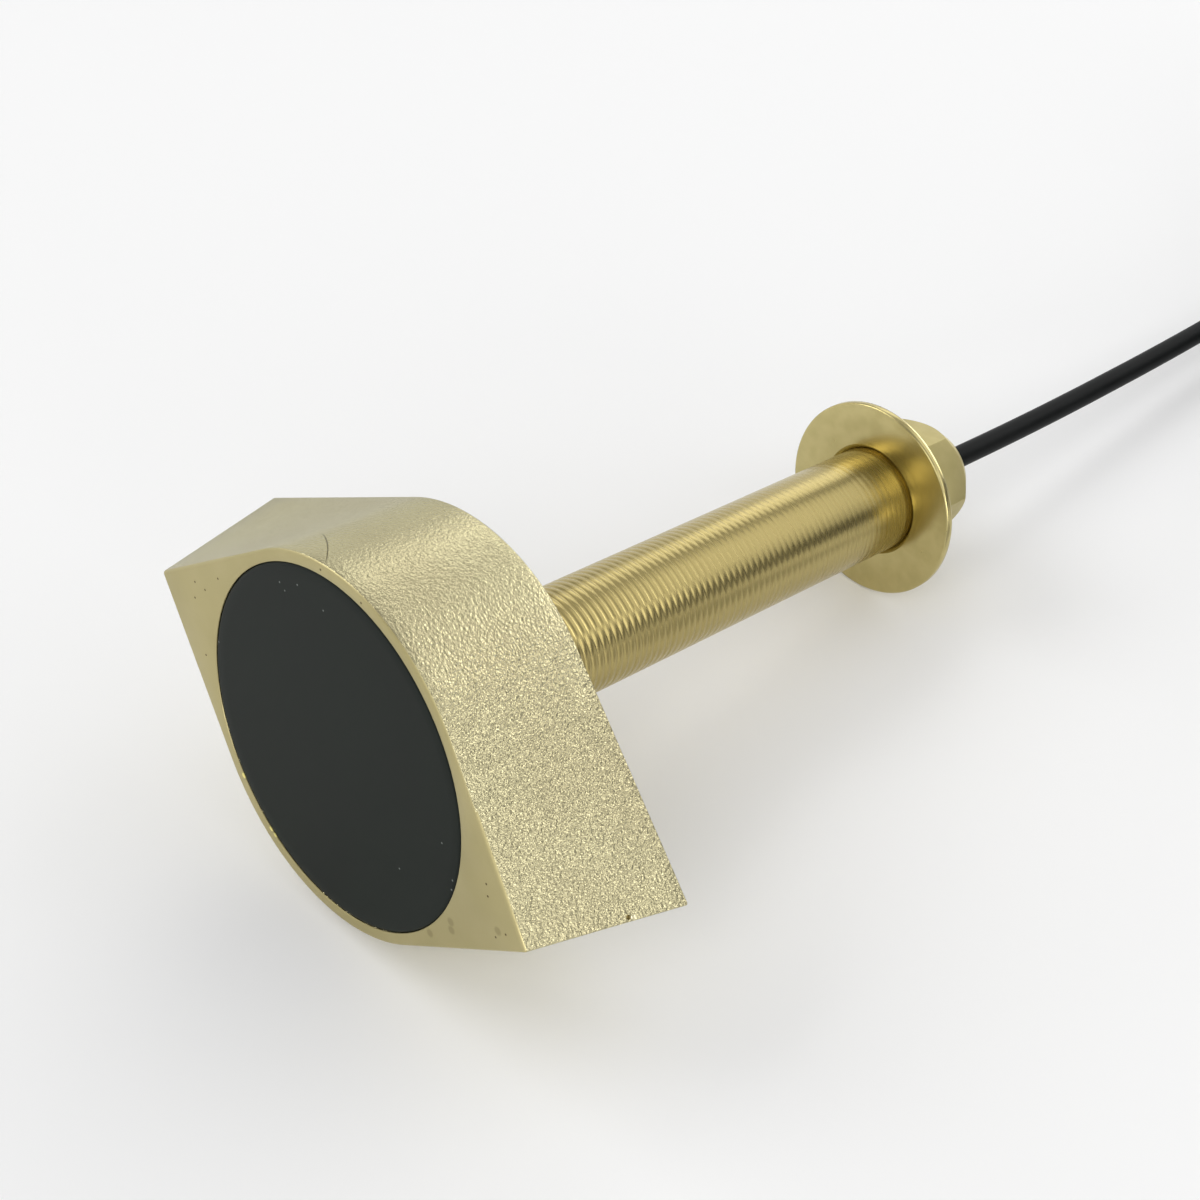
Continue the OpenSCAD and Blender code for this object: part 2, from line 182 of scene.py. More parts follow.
def piece(name, mesh, node, laid=LAID_DOWN, crease=35):
    """Closes the mesh, lays it in place and puts it in for its solid."""
    bmesh.ops.remove_doubles(mesh, verts=mesh.verts, dist=0.001)
    bmesh.ops.recalc_face_normals(mesh, faces=mesh.faces)
    for face in mesh.faces:
        face.smooth = True
    for edge in mesh.edges:
        edge.smooth = edge.is_manifold and edge.calc_face_angle(0) < math.radians(crease)
    mesh.transform(laid)
    data = bpy.data.meshes.new(name)
    mesh.to_mesh(data)
    mesh.free()
    made = bpy.data.objects.new(name, data)
    scene.collection.objects.link(made)
    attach(made, "root")
    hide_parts(node)
    print(name, "faces:", len(data.polygons))
    return made


print("the axis dips by %.2f degrees" % math.degrees(dip))


# %% Helpers for the meshes
def only(kind, geom):
    """The vertices, the edges or the faces among what an operator gives back."""
    return [item for item in geom if isinstance(item, kind)]


def ring(mesh, radius, height, segments=96):
    """A circle of edges about the axis."""
    made = bmesh.ops.create_circle(mesh, segments=segments, radius=radius, cap_ends=False)
    bmesh.ops.translate(mesh, verts=made["verts"], vec=(0, 0, height))
    return list({edge for vert in made["verts"] for edge in vert.link_edges})


def stretch(mesh, edges, radius=None, height=None):
    """Extrudes a ring of edges to another radius or height, and gives the new ring."""
    made = bmesh.ops.extrude_edge_only(mesh, edges=edges)["geom"]
    for vert in only(BMVert, made):
        flat = vert.co.xy.length
        if radius is not None:
            vert.co.x, vert.co.y = vert.co.x * radius / flat, vert.co.y * radius / flat
        if height is not None:
            vert.co.z = height
    return only(BMEdge, made)


def turned(mesh, profile, steps=128):
    """Spins a profile of (radius, height) points round the axis."""
    verts = [mesh.verts.new((r, 0, z)) for r, z in profile]
    edges = [mesh.edges.new(pair) for pair in zip(verts, verts[1:])]
    bmesh.ops.spin(
        mesh, geom=verts + edges, cent=(0, 0, 0), axis=(0, 0, 1),
        angle=2 * math.pi, steps=steps, use_merge=True, use_duplicate=False,
    )


def cut_off(mesh, point, normal):
    """Cuts away what lies past a plane, and closes the cut."""
    everything = list(mesh.verts) + list(mesh.edges) + list(mesh.faces)
    cut = bmesh.ops.bisect_plane(mesh, geom=everything, plane_co=point, plane_no=normal, clear_outer=True)
    bmesh.ops.contextual_create(mesh, geom=only(BMEdge, cut["geom_cut"]))


def soften(mesh, edges, width, segments=3):
    """Rounds edges, as a file or a tumbling drum does."""
    bmesh.ops.bevel(
        mesh, geom=edges, offset=width, offset_type="OFFSET", affect="EDGES", segments=segments, profile=0.5,
        material=-1, clamp_overlap=True,
    )


def is_level(edge, height):
    return all(abs(vert.co.z - height) < 1e-4 for vert in edge.verts)


print("helpers ready")

# %% [markdown]
# ## The housing
# The housing is a sand casting: two round sides that run straight into two pointed tips, and the tips
# rake back because the back is longer than the front. A block cut by planes would give the tips but not
# the round sides. So the outline is drawn twice, at the front and at the back, from spun arcs and tip
# points, and bridged. The machined front face and the bored chamber follow as rings of edges that are
# stretched inwards. The edges are rounded last, as those of a fettled casting are.

# %% The outline of the eye
def eye(mesh, side_r, half_len, height, arc_steps=48, side_steps=6):
    """The outline of the housing at one height: two arcs and the straight lines from them to the tips."""
    start = math.acos(side_r / half_len)
    loop = []
    for half in (0, math.pi):
        first = mesh.verts.new((side_r * math.cos(start + half), side_r * math.sin(start + half), height))
        arc = bmesh.ops.spin(
            mesh, geom=[first], cent=(0, 0, 0), axis=(0, 0, 1),
            angle=math.pi - 2 * start, steps=arc_steps, use_merge=False, use_duplicate=False,
        )
        last = only(BMVert, arc["geom_last"])[0]
        tip = mesh.verts.new((-half_len * math.cos(half), 0, height))
        loop.append((first, last, tip))
    (first, last, tip), (other_first, other_last, other_tip) = loop
    ends = ((last, tip), (tip, other_first), (other_last, other_tip), (other_tip, first))
    sides = [mesh.edges.new(pair) for pair in ends]
    bmesh.ops.subdivide_edges(mesh, edges=sides, cuts=side_steps - 1)
    return [edge for edge in mesh.edges if is_level(edge, height)]


casting = bmesh.new()
front_loop = eye(casting, FACE_R, FACE_LEN, 0)
back_loop = eye(casting, BACK_R, BACK_LEN, HOUSING_T)
bmesh.ops.bridge_loops(casting, edges=front_loop + back_loop)
walls = [edge for edge in casting.edges if abs(edge.verts[0].co.z - edge.verts[1].co.z) > 1]
bmesh.ops.subdivide_edges(casting, edges=walls, cuts=9, use_grid_fill=True)
print("outline of", len(front_loop), "edges, walls of", len(casting.faces), "faces")

# %% The machined face, the chamber and the socket
FIT = 0.05
SEAT_Z, CHAMBER_R, CHAMBER_Z, PASSAGE_R, SOCKET_Z, BORE_R = 5.5, 35, 24, 7, 26.7, STEM_D / 2 + FIT
at_front = [edge for edge in casting.edges if is_level(edge, 0)]
at_back = [edge for edge in casting.edges if is_level(edge, HOUSING_T)]
window_edge = ring(casting, WINDOW_D / 2, 0, 108)
socket_edge = ring(casting, BORE_R, HOUSING_T, 108)
for border, way in ((at_front + window_edge, (0, 0, -1)), (at_back + socket_edge, (0, 0, 1))):
    bmesh.ops.triangle_fill(casting, use_beauty=True, use_dissolve=False, edges=border, normal=way)
inside = stretch(casting, window_edge, height=SEAT_Z)
for radius, height in ((CHAMBER_R, CHAMBER_Z), (PASSAGE_R, SOCKET_Z)):
    inside = stretch(casting, stretch(casting, inside, radius=radius), height=height)
inside = stretch(casting, inside, radius=BORE_R)
bmesh.ops.bridge_loops(casting, edges=inside + socket_edge)
print("faces with the chamber:", len(casting.faces))

# %% Fettled edges
def is_tip(edge):
    return all(abs(vert.co.y) < 1e-4 and abs(vert.co.x) > 50 for vert in edge.verts)


def is_mouth(edge):
    return is_level(edge, 0) and all(abs(vert.co.xy.length - WINDOW_D / 2) < 1e-3 for vert in edge.verts)


MOUTH_BREAK = 0.25
outlines = set(at_front + at_back)
soften(casting, [edge for edge in casting.edges if edge in outlines or is_tip(edge)], EDGE_BREAK)
soften(casting, [edge for edge in casting.edges if is_mouth(edge)], MOUTH_BREAK, segments=2)
casting.normal_update()
for face in casting.faces:
    face.material_index = 1 if face.normal.z < -0.3 and face.calc_center_median().z < 0.7 else 0
housing = piece("housing_casting", casting, "housing", crease=40)

# %% [markdown]
# ## The acoustic window
# The window is black resin poured into the front of the housing. As it set it shrank, so its middle is
# dished by half a millimetre and its rim is soft. A plain cylinder would lack both, so a profile is spun
# round the axis.

# %% The window
RIM_R = WINDOW_D / 2 - FIT
DISH_R, DISH_FROM, DISH = RIM_R - 0.8, 0.1, 0.42
profile = [(0, SEAT_Z), (RIM_R, SEAT_Z), (RIM_R, 0.55), (RIM_R - 0.1, 0.32), (RIM_R - 0.35, 0.16)]
profile += [
    (r, DISH_FROM + DISH * (1 - (r / DISH_R) ** 2))
    for r in (DISH_R, 36, 33, 29, 25, 21, 17, 13, 9, 5, 2, 0)
]
resin = bmesh.new()
turned(resin, profile)
window = piece("window_resin", resin, "acoustic_window", crease=50)

# %% [markdown]
# ## The threaded stem
# The stem carries a fine pipe thread, fourteen turns to the inch, with rounded crests. A thread is a
# profile of one pitch that climbs one pitch in a full turn. It could be a wave in a bump, but then its
# outline would be straight. So it is spun once with a step along the axis, the turn is repeated along the
# stem, and the ends are cut square. Towards the nut the photograph shows it fainter, so it is drawn
# shallower there.

# %% One turn, many times
PITCH = 25.4 / 14
THREAD_DEPTH, WORN_DEPTH = 0.22, 0.02
STEM_FROM, WEAR_LEN = 28.0, 0.8 * (FLANGE_FRONT - HOUSING_T)
PROFILE_STEPS, SPOKES = 8, 64
thread = bmesh.new()
verts = []
for k in range(PROFILE_STEPS + 1):
    dip_in = 0.5 - 0.5 * math.cos(2 * math.pi * k / PROFILE_STEPS)
    height = STEM_FROM - 2 * PITCH + PITCH * k / PROFILE_STEPS
    verts.append(thread.verts.new((STEM_D / 2 - THREAD_DEPTH * dip_in**2, 0, height)))
edges = [thread.edges.new(pair) for pair in zip(verts, verts[1:])]
bmesh.ops.spin(
    thread, geom=verts + edges, cent=(0, 0, 0), axis=(0, 0, 1), dvec=(0, 0, PITCH / SPOKES),
    angle=2 * math.pi, steps=SPOKES, use_merge=False, use_duplicate=False,
)
one_turn = list(thread.verts) + list(thread.edges) + list(thread.faces)
turns = math.ceil((STEM_END - STEM_FROM) / PITCH) + 3
for k in range(1, turns):
    copy = bmesh.ops.duplicate(thread, geom=one_turn)["geom"]
    bmesh.ops.translate(thread, verts=only(BMVert, copy), vec=(0, 0, k * PITCH))
bmesh.ops.remove_doubles(thread, verts=thread.verts, dist=0.01)
for height, way in ((STEM_FROM, -1), (STEM_END, 1)):
    cut_off(thread, (0, 0, height), (0, 0, way))
print("thread of", turns, "turns")

# %% Its fading depth
for vert in thread.verts:
    flat = vert.co.xy.length
    if flat > STEM_D / 4:
        worn = min(1, max(0, vert.co.z - HOUSING_T) / WEAR_LEN)
        kept = 1 + (WORN_DEPTH / THREAD_DEPTH - 1) * worn
        vert.co.xy *= (STEM_D / 2 - kept * (STEM_D / 2 - flat)) / flat
stem = piece("stem_thread", thread, "threaded_stem", crease=60)

# %% [markdown]
# ## The hull nut
# The nut is a thin turned flange with a hexagon behind it. The flange is a spun profile with a chamfered
# bore. The hexagon could be a circle of six edges, extruded, but then its corners would lack the curve of
# a turned chamfer. So it is made as a lathe and a mill make it: a round blank is spun, six planes cut its
# flats, and the edges are rounded.

# %% Flange and hexagon
FLANGE_R, HUB_END = FLANGE_D / 2, 169.0
z0, z1 = FLANGE_FRONT, FLANGE_FRONT + FLANGE_T
flange_profile = [
    (BORE_R, z0 + 1.0), (BORE_R + 0.9, z0 + 0.05), (BORE_R + 1.1, z0),
    (FLANGE_R - 0.5, z0), (FLANGE_R - 0.2, z0 + 0.1), (FLANGE_R, z0 + RIM_BREAK),
    (FLANGE_R, z1 - RIM_BREAK), (FLANGE_R - 0.2, z1 - 0.1), (FLANGE_R - 0.5, z1),
    (BORE_R, z1), (BORE_R, z0 + 1.0),
]
nut = bmesh.new()
turned(nut, flange_profile, 144)
print("flange of", len(nut.faces), "faces")


# %% Flats on a blank
def hexagon(profile, flats, first_flat, edge):
    """A spun blank, cut to six flats, with its sharp edges rounded."""
    blank = bmesh.new()
    turned(blank, profile, 144)
    bmesh.ops.remove_doubles(blank, verts=blank.verts, dist=0.001)
    for k in range(6):
        way = math.radians(first_flat + 60 * k)
        flat = Vector((math.cos(way), math.sin(way), 0))
        cut_off(blank, flat * flats / 2, flat)
    blank.normal_update()
    outside = [e for e in blank.edges if all(vert.co.xy.length > flats / 3 for vert in e.verts)]
    sharp = [e for e in outside if e.is_manifold and e.calc_face_angle(0) > math.radians(15)]
    soften(blank, sharp, edge)
    return blank


HUB_FLATS, HUB_TURN_LEN = 32.0, 1.4
hub_r = HUB_FLATS / 2 / math.cos(math.pi / 6)
hub_from = z1 - 0.2
hub = hexagon([
    (BORE_R, HUB_END), (HUB_FLATS / 2, HUB_END), (hub_r, HUB_END - HUB_TURN_LEN), (hub_r, hub_from),
    (BORE_R, hub_from), (BORE_R, HUB_END),
], HUB_FLATS, 30, 0.3)
hub_mesh = bpy.data.meshes.new("hub")
hub.to_mesh(hub_mesh)
hub.free()
nut.from_mesh(hub_mesh)
bpy.data.meshes.remove(hub_mesh)
hull_nut = piece("hull_nut_turned", nut, "hull_nut", crease=40)

# %% [markdown]
# ## The gland nut
# The gland nut is a hexagon whose far end was turned to a cone, so that each flat ends in a curve. It is
# cut from a spun blank in the same way, with wider rounded edges.

# %% The gland nut
GLAND_FLATS, GLAND_CONE_LEN = 26.4, 6.3
gland_r = GLAND_FLATS / 2 / math.cos(math.pi / 6)
cable_r, face_r = CABLE_D / 2 + FIT, GLAND_END_D / 2
blank = hexagon([
    (cable_r, GLAND_END), (face_r - 0.9, GLAND_END), (face_r - 0.2, GLAND_END - 0.25),
    (face_r + 0.15, GLAND_END - 0.7), (gland_r, GLAND_END - GLAND_CONE_LEN), (gland_r, STEM_END + 0.3),
    (gland_r - 0.3, STEM_END), (cable_r, STEM_END), (cable_r, GLAND_END),
], GLAND_FLATS, 14, 1.0)
gland = piece("gland_nut_turned", blank, "gland_nut", crease=50)

# %% [markdown]
# ## The strap round the coil
# A woven strap holds the coil together. It is a flat band that closes on itself, so its section through
# the coil is a rounded frame. A curve with a flat profile could make it too, but it would twist at the
# corners. So that frame is drawn once and extruded sideways in steps, and each step is drawn back to the
# coil's own curve. Every point remembers how far along and across the band it lies, for the weave.

# %% The frame of the band
STRAP_AT, STRAP_W, STRAP_T = math.radians(-60), 12.0, 1.0
IN_R, OUT_R, LOW_Z, HIGH_Z = 24.0, 57.0, 1.0, 34.0
CORNER, CORNER_POINTS = 3.0, 7
strap_mesh = bmesh.new()
along = strap_mesh.verts.layers.float.new("along")
across = strap_mesh.verts.layers.float.new("across")


def band_loop(margin):
    """A rounded frame round the coil's section, at a distance from it."""
    middles = [
        (IN_R + CORNER, LOW_Z + CORNER), (OUT_R - CORNER, LOW_Z + CORNER),
        (OUT_R - CORNER, HIGH_Z - CORNER), (IN_R + CORNER, HIGH_Z - CORNER),
    ]
    loop, gone = [], 0.0
    for k, (r, z) in enumerate(middles):
        for step in range(CORNER_POINTS):
            turn = math.radians(180 + 90 * k + 90 * step / (CORNER_POINTS - 1))
            out = CORNER + margin
            vert = strap_mesh.verts.new((r + out * math.cos(turn), -STRAP_W / 2, z + out * math.sin(turn)))
            gone += (vert.co - loop[-1].co).length if loop else 0.0
            vert[along], vert[across] = gone, -STRAP_W / 2
            loop.append(vert)
    return [strap_mesh.edges.new(pair) for pair in zip(loop, loop[1:] + loop[:1])]


inner_loop, outer_loop = band_loop(0.1), band_loop(STRAP_T)
long_sides = [e for e in inner_loop + outer_loop if e.calc_length() > CORNER]
bmesh.ops.subdivide_edges(strap_mesh, edges=long_sides, cuts=9)
bmesh.ops.bridge_loops(strap_mesh, edges=list(strap_mesh.edges))
print("frame of the band:", len(strap_mesh.faces), "faces")

# %% The band's width
STRAP_STEPS = 12
sheet = list(strap_mesh.faces)
for step in range(STRAP_STEPS):
    grown = bmesh.ops.extrude_face_region(strap_mesh, geom=sheet, use_keep_orig=step == 0)["geom"]
    moved = only(BMVert, grown)
    bmesh.ops.translate(strap_mesh, verts=moved, vec=(0, STRAP_W / STRAP_STEPS, 0))
    for vert in moved:
        vert[across] += STRAP_W / STRAP_STEPS
    if step > 0:
        bmesh.ops.delete(strap_mesh, geom=sheet, context="FACES_ONLY")
    sheet = only(BMFace, grown)
for vert in strap_mesh.verts:
    vert.co.x = math.sqrt(vert.co.x**2 - vert.co.y**2)
to_coil = Matrix.Translation(MM * Vector((COIL_X, COIL_Y, 0))) @ Matrix.Rotation(STRAP_AT, 4, "Z")
to_coil = to_coil @ Matrix.Scale(MM, 4)
strap = piece("strap_woven", strap_mesh, "coil_tie", laid=to_coil, crease=50)

# %% [markdown]
# ## The floor
# The photograph is a catalogue picture on white. A pale round floor takes a soft shadow. Further out it
# fades away into the white of the world, so that a low view has no grey horizon. One circle with a face
# is enough.

# %% Floor
FLOOR_R = 1.5
floor_mesh = bmesh.new()
bmesh.ops.create_circle(floor_mesh, segments=96, radius=FLOOR_R, cap_ends=True)
floor_data = bpy.data.meshes.new("floor")
floor_mesh.to_mesh(floor_data)
floor_mesh.free()
floor = bpy.data.objects.new("floor", floor_data)
scene.collection.objects.link(floor)
print("floor laid,", 2 * FLOOR_R, "m across")

# %% [markdown]
# ## Softboxes
# Metal looks like what stands round it. On the photographed stem one can count the lamps: long bands of
# light with dark gaps between them. Each lamp here is a soft rectangle that looks at the part, placed by
# its bearing and its rise. Strips stand low, squares and panels draw the bands on the stem, and the two
# broad lamps at the front light the floor that the machined face mirrors. Their powers were found by
# fitting those bands and the shading of the walls.

# %% Lamps
LAMP_REACH, LOOK_AT = 1.3, Vector((0, 0, 0.04))


def softbox(name, bearing, rise, size, watts):
    """A soft lamp that looks at the part. Bearing 0 is beyond the cable, 90 to the right of the stem."""
    lamp = bpy.data.lights.new(name, "AREA")
    lamp.shape = "RECTANGLE"
    lamp.size, lamp.size_y = size
    lamp.energy = watts
    made = bpy.data.objects.new(name, lamp)
    turn = Matrix.Rotation(math.radians(-bearing), 3, "Z") @ Matrix.Rotation(math.radians(rise), 3, "X")
    outward = turn @ Vector((0, 1, 0))
    made.location = LOOK_AT + LAMP_REACH * outward
    made.rotation_euler = (-outward).to_track_quat("-Z", "Y").to_euler()
    made.visible_camera = False
    scene.collection.objects.link(made)


STRIP, SQUARE, PANEL, BROAD = (0.8, 0.4), (0.5, 0.45), (1.15, 0.85), (0.9, 0.6)
softboxes = [
    ("back_strip", 0, 8, STRIP, 3.6), ("right_strip", 100, 8, STRIP, 4.0),
    ("left_square", -33, 28, SQUARE, 1.0), ("left_high", -48, 42, SQUARE, 0.75),
    ("back_panel", 24, 42, PANEL, 2.5), ("right_square", 72, 30, SQUARE, 1.35),
    ("top_panel", -10, 74, PANEL, 0.9),
    ("front_broad", 150, 40, BROAD, 3.4), ("side_broad", -120, 40, BROAD, 4.8),
]
for row in softboxes:
    softbox(*row)
print("softboxes:", len(softboxes))

# %% [markdown]
# ## Flags and a painted shadow
# A photographer draws dark lines on metal with dark cards, called flags. One stands to the right of the
# stem. A second card lies on the floor beside it, where the housing's shadow falls and the stem shows a
# dark band along it: it is a painted shadow. Only reflections see them: they are hidden from the camera
# and cast no shadow.

# %% Flags and a painted shadow
def dark_card(name, place, aim, size):
    """A dark card that only reflections see."""
    card = bmesh.new()
    bmesh.ops.create_grid(card, x_segments=1, y_segments=1, size=0.5)
    turn = (Vector(aim) - Vector(place)).to_track_quat("-Z", "Y").to_matrix().to_4x4()
    card.transform(Matrix.Translation(place) @ turn @ Matrix.Diagonal((*size, 1, 1)))
    data = bpy.data.meshes.new(name)
    card.to_mesh(data)
    card.free()
    made = bpy.data.objects.new(name, data)
    made.visible_camera = made.visible_diffuse = made.visible_shadow = False
    scene.collection.objects.link(made)
    print(name, "at", place)
    return made


dark_cards = [
    dark_card("flag_right", (0.95, 0.6, 0.165), (0, 0, 0.165), (1.7, 0.33)),
    # a grey card lying on the floor: a painted shadow of the housing, seen only in reflections
    dark_card("floor_shadow_card", (0.15, 0.06, 0.002), (0.15, 0.06, 1), (0.18, 0.11)),
]

# %% [markdown]
# ## Writing finishes as sums
# A finish is a net of nodes. One small class wraps a socket, so that a sum of fields reads as a plain
# expression and every operator adds its Math node. Every other node comes from one method.

# %% The class
class Field:
    """An output socket of a finish. Sums of fields become Math nodes."""

    def __init__(self, socket):
        self.socket = socket

    def node(self, kind, settings, inputs, out=0):
        """Adds a node: its settings first, then the values or links of its sockets."""
        made = self.socket.id_data.nodes.new("ShaderNode" + kind)
        for key, value in settings.items():
            setattr(made, key, value)
        for key, value in inputs.items():
            if isinstance(value, Field):
                self.socket.id_data.links.new(value.socket, made.inputs[key])
            else:
                made.inputs[key].default_value = value
        return Field(made.outputs[out])

    def sum(self, operation, a, b=0.0):
        return self.node("Math", {"operation": operation}, {0: a, 1: b})

    def __add__(self, other):
        return self.sum("ADD", self, other)

    def __radd__(self, other):
        return self.sum("ADD", other, self)

    def __sub__(self, other):
        return self.sum("SUBTRACT", self, other)

    def __rsub__(self, other):
        return self.sum("SUBTRACT", other, self)

    def __mul__(self, other):
        return self.sum("MULTIPLY", self, other)

    def __rmul__(self, other):
        return self.sum("MULTIPLY", other, self)

    def __abs__(self):
        return self.sum("ABSOLUTE", self)

    def sine(self):
        return self.sum("SINE", self)

    def or_larger(self, other):
        return self.sum("MAXIMUM", self, other)

    def between(self, low, high, a=0.0, b=1.0):
        """a below low and b above high, with a soft step."""
        steps = {0: self, 1: low, 2: high, 3: a, 4: b}
        return self.node("MapRange", {"interpolation_type": "SMOOTHSTEP"}, steps)

    def noise(self, scale, detail=2.0, roughness=0.5):
        settings = {"Vector": self, "Scale": scale, "Detail": detail, "Roughness": roughness}
        return self.node("TexNoise", {}, settings)

    def mix(self, a, b):
        """Colour a where this field is 0, colour b where it is 1."""
        return self.node("Mix", {"data_type": "RGBA"}, {0: self, 6: a, 7: b}, 2)

    def bump(self, strength, distance):
        return self.node("Bump", {}, {"Strength": strength, "Distance": distance, "Height": self})


def colour(*values):
    """A colour as an eye-dropper reads it, 0 to 255, turned to linear light."""
    linear = [c / 255 / 12.92 if c < 10 else ((c / 255 + 0.055) / 1.055) ** 2.4 for c in values]
    return (*linear, 1.0)


def grey(level):
    """A grey in linear light."""
    return (level, level, level, 1.0)


print("white is", colour(255, 255, 255)[0], "and mid grey", round(colour(128, 128, 128)[0], 3))


# %% Starting a finish
def finish(name):
    """A new material with its shader and its object coordinates."""
    made = bpy.data.materials.new(name)
    made.use_nodes = True
    shader = made.node_tree.nodes["Principled BSDF"]
    place = Field(made.node_tree.nodes.new("ShaderNodeTexCoord").outputs["Object"])
    return made, shader, place


def apply(shader, **sockets):
    """Sets the shader's sockets: a field is linked, a number or colour is set."""
    for key, value in sockets.items():
        socket = shader.inputs[key.replace("_", " ")]
        if isinstance(value, Field):
            shader.id_data.links.new(value.socket, socket)
        else:
            socket.default_value = value


def upright(place):
    """Object coordinates turned into the stem's own frame, in millimetres."""
    return place.node("Mapping", {"vector_type": "TEXTURE"}, {
        "Vector": place, "Location": REST_PLACE, "Rotation": REST_TURN, "Scale": (MM, MM, MM),
    })


print("finishes can be written as sums now")

# %% [markdown]
# ## Small marks
# Handling has left its marks on the real part: pits and smudges on the machined face, specks of dust on
# the window, chips at its mouth, a scratch and a nick on the wall. They could be cut into the mesh, but
# at a quarter of a millimetre a change of colour is all that the eye sees. So each mark is a small ball
# round a point of the stem's frame, and the finish takes another tone inside it. The pits are painted
# dark with the shade inside them, the chips are painted highlights, and the nick is a painted highlight
# beside a painted shade.

# %% Where the marks are
# pits in the machined face, painted dark as the shade inside them
PIT_SHADE = [
    (46.1, -6.5, 0), (53.6, 0.3, 0), (47.2, -4.1, 0), (51.5, 3.3, 0), (-40.8, -12.7, 0), (-44.4, -6.7, 0),
    (-47.9, -6.1, 0), (-47.3, -2.2, 0), (-41.6, 9.4, 0), (-11.5, -38.6, 0), (0.7, -40.1, 0),
]
SMUDGES = [(40.0, 10.9, 0), (40.7, 12.6, 0), (35.6, 18.9, 0), (51.6, 1.4, 0)]
# chips at the window's mouth, painted bright as the highlights on their edges
CHIP_GLINTS = [(-24.6, 30.3, 0), (-13.7, 36.4, 0), (-12.1, 36.8, 0)]
SPECKS = [
    (33.1, -5.0, 0.2), (23.9, 11.7, 0.3), (-17.4, -29.9, 0.2), (-20.7, -25.7, 0.3), (-22.5, -26.5, 0.2),
    (-38.2, 2.8, 0.1), (-9.2, -29.9, 0.3), (37.9, 0.9, 0.1), (38.2, 3.3, 0.1), (37.2, 11.4, 0.1),
]
# the nick in the wall, drawn as a painted highlight beside a painted shade
NICK_HIGHLIGHT, NICK_SHADE = (64.1, -0.5, 22.8), (63.6, -0.7, 21.9)
SCRATCH_MIDDLE, SCRATCH_CENTRE, SCRATCH_R = (-17.5, -37.7, 5.6), (-43.2, 0, -29.4), 43.92


def spots(at, radius, *centres):
    """1 near any of the centres and 0 past the radius, in millimetres."""
    found = 0.0
    for centre in centres:
        away = at.node("VectorMath", {"operation": "DISTANCE"}, {0: at, 1: centre}, 1)
        found = away.between(0.5 * radius, radius, 1.0, 0.0).or_larger(found)
    return found


print("marks:", len(PIT_SHADE), "pits,", len(SMUDGES), "smudges,", len(CHIP_GLINTS), "chips,", len(SPECKS), "specks")

# %% [markdown]
# ## Cast and machined bronze
# The walls of the housing keep the skin of the sand mould: pebbles under a millimetre wide on slower
# lumps, which still show from further away. They could be sculpted, at a million faces; three noises in a
# bump do the same. In the photograph the skin is smooth at one tip and coarse at the other, so the bump
# grows along the housing. The front face was machined flat, so it is smooth. Both are the same pale
# metal.

# %% Cast skin
cast_bronze, shader, place = finish("cast_bronze")
at = upright(place)
pebbles, fine, lumps = place.noise(1550, 2, 0.45), place.noise(2800, 2, 0.6), place.noise(420, 2)
SMOOTH_TO, COARSE_FROM = -15, 35
coarse = at.node("SeparateXYZ", {}, {0: at}, 0).between(SMOOTH_TO, COARSE_FROM, 0.5, 1.6)
height = coarse * (pebbles + 0.1 * fine + 0.35 * lumps)
skin = place.noise(35, 2).between(0.3, 0.7).mix(colour(201, 193, 154), colour(195, 186, 148))
sideways = at.node("VectorMath", {"operation": "MULTIPLY"}, {0: at, 1: (1, 0, 1)})
from_centre = at.node("VectorMath", {"operation": "DISTANCE"}, {0: sideways, 1: SCRATCH_CENTRE}, 1)
off_arc = abs(from_centre - SCRATCH_R)
scratch = off_arc.between(0.06, 0.2, 1.0, 0.0) * spots(at, 9.5, SCRATCH_MIDDLE)
skin = scratch.mix(skin, colour(122, 114, 84))
# the nick: a painted highlight on one side of the dent and a painted shade on the other
skin = spots(at, 0.8, NICK_HIGHLIGHT).mix(skin, colour(240, 230, 190))
skin = spots(at, 0.7, NICK_SHADE).mix(skin, colour(110, 96, 56))
apply(
    shader, Base_Color=skin, Metallic=1.0, Roughness=0.2 + 0.08 * fine, Normal=height.bump(1.0, 0.00034),
    Specular_Tint=(0.75, 0.75, 0.7, 1),
)
housing.data.materials.append(cast_bronze)
print("cast skin done")

# %% Machined face
faced_bronze, shader, place = finish("faced_bronze")
at = upright(place)
cloud = place.noise(40, 3)
metal = cloud.between(0.3, 0.7).mix(colour(188, 177, 131), colour(179, 168, 121))
metal = (0.35 * spots(at, 1.2, *SMUDGES)).mix(metal, colour(120, 106, 66))
# painted shade in the pits
metal = spots(at, 0.32, *PIT_SHADE).mix(metal, colour(88, 74, 40))
# painted highlights on the chips at the window's mouth
metal = spots(at, 0.8, *CHIP_GLINTS).mix(metal, colour(246, 234, 150))
apply(
    shader, Base_Color=metal, Metallic=1.0, Roughness=0.36 + 0.1 * cloud,
    Normal=place.noise(500, 3).bump(0.4, 0.0001),
)
housing.data.materials.append(faced_bronze)
print("machined face done")

# %% [markdown]
# ## Window resin
# The window is a satin black that is a little green, with faint clouds in its gloss and a few specks of
# dust. It could be a plain black, but then it would look printed. A low specular level keeps the lamps
# from greying it.

# %% Window resin
window_resin, shader, place = finish("window_resin")
cloud = place.noise(60, 3)
black = cloud.between(0.3, 0.7).mix(colour(13, 20, 14), colour(18, 25, 19))
apply(
    shader, Base_Color=(0.55 * spots(upright(place), 0.26, *SPECKS)).mix(black, colour(150, 156, 150)),
    Roughness=0.42 + 0.1 * cloud, Specular_IOR_Level=0.14,
)
window.data.materials.append(window_resin)
print("window resin done")

# %% [markdown]
# ## Turned brass
# A lathe leaves fine rings, so the stem's tone and gloss change along its axis and not round it. A noise
# does that when its coordinates are flattened to the axis. The nuts are cleaner and brighter, and the
# gland is more matt.

